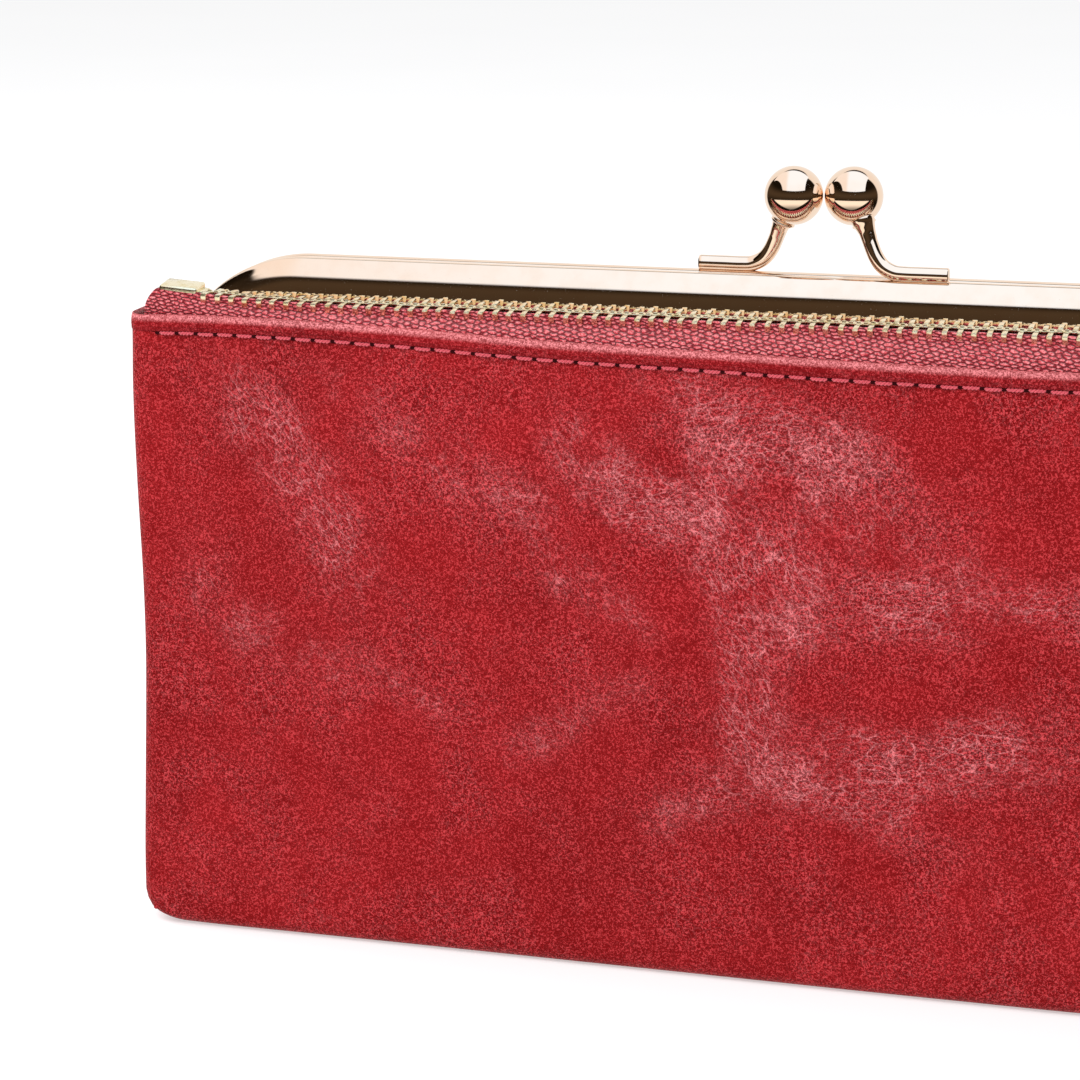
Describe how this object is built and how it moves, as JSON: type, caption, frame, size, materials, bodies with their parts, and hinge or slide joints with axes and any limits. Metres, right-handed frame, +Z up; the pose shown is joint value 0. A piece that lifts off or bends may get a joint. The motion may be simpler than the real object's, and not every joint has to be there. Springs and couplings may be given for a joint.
{
  "type": "wristlet wallet",
  "caption": "Long leather wallet with a zipped front pocket, a ball-clasp metal frame over the main compartment, and a clip-on wrist strap.",
  "frame": {"origin": "middle of the flat base, on the surface that the wallet stands on", "axes": "+X along the wallet's length to its right-hand end, where the strap hangs; -Y out of the zipped front; +Z up to the clasp"},
  "size_m": [0.3179, 0.0309, 0.1168],
  "materials": {
    "shell_leather": "waxed pull-up leather, fine grain",
    "slot_leather": "thin smooth leather",
    "strap_leather": "waxed pull-up leather",
    "lining_cloth": "plain woven cotton",
    "board": "grey-brown paper board and cord",
    "frame_gold": "polished, pale rose-gold plated",
    "hardware_gold": "polished, pale rose-gold plated",
    "zip_brass": "bright pale brass",
    "zip_tape": "herringbone woven tape"
  },
  "bodies": {
    "root": {"front_panel": "shell_leather", "front_hem": "shell_leather", "back_panel_lower": "shell_leather", "base_panel": "shell_leather", "divider_wall": "shell_leather", "gusset_left": "shell_leather", "gusset_right": "shell_leather", "ring_tab": "shell_leather", "ring_tab_rivet": "hardware_gold", "card_slot_1": "slot_leather", "card_slot_2": "slot_leather", "card_slot_3": "slot_leather", "pocket_lining": "lining_cloth", "main_lining_front": "lining_cloth", "main_lining_back": "lining_cloth", "base_board": "board", "front_frame": "frame_gold", "front_frame_cord": "board", "clasp_arm_right": "frame_gold", "clasp_ball_right": "frame_gold", "hinge_rivet_left": "frame_gold", "hinge_rivet_right": "frame_gold", "zip_teeth_front": "zip_brass", "zip_teeth_back": "zip_brass", "zip_bottom_stop": "zip_brass", "zip_top_stop_front": "zip_brass", "zip_top_stop_back": "zip_brass", "zip_tape_front": "zip_tape", "zip_tape_back": "zip_tape"},
    "back_half": {"back_frame": "frame_gold", "back_frame_cord": "board", "clasp_arm_left": "frame_gold", "clasp_ball_left": "frame_gold", "back_panel_upper": "shell_leather", "main_lining_upper": "lining_cloth"},
    "slider": {"zip_slider": "zip_brass", "zip_slider_plate": "zip_brass"},
    "pull": {"zip_pull": "zip_brass"},
    "ring": {"d_ring": "hardware_gold"},
    "hook": {"hook_body": "hardware_gold"},
    "gate": {"hook_gate": "hardware_gold"},
    "strap": {"swivel_eye": "hardware_gold", "wrist_strap": "strap_leather", "strap_keeper": "strap_leather"}
  },
  "joints": [
    {"name": "frame_hinge", "type": "hinge", "parent": "root", "child": "back_half", "pos_m": [0, 0, 0.062], "axis": [-1, 0, 0], "range_deg": [0, 45]},
    {"name": "zip_slide", "type": "slide", "parent": "root", "child": "slider", "axis": [-1, 0, 0], "range_m": [0, 0.166]},
    {"name": "pull_hinge", "type": "hinge", "parent": "slider", "child": "pull", "pos_m": [0.082, -0.0075, 0.0985], "axis": [0, 1, 0], "range_deg": [0, 170]},
    {"name": "ring_hinge", "type": "hinge", "parent": "root", "child": "ring", "pos_m": [0.1046, -0.0056, 0.08], "axis": [0, 0, -1], "range_deg": [-45, 45]},
    {"name": "hook_hinge", "type": "hinge", "parent": "ring", "child": "hook", "pos_m": [0.1095, -0.0056, 0.0743], "axis": [1, 0, 0], "range_deg": [-50, 50]},
    {"name": "gate_hinge", "type": "hinge", "parent": "hook", "child": "gate", "pos_m": [0.1095, -0.0021, 0.0671], "axis": [1, 0, 0], "range_deg": [0, 25], "stiffness_Nm_per_rad": 0.002, "springref_deg": -17.19},
    {"name": "strap_swivel", "type": "hinge", "parent": "hook", "child": "strap", "pos_m": [0.1095, -0.0056, 0.055], "axis": [0, 0, 1], "range_deg": [-45, 45]}
  ]
}
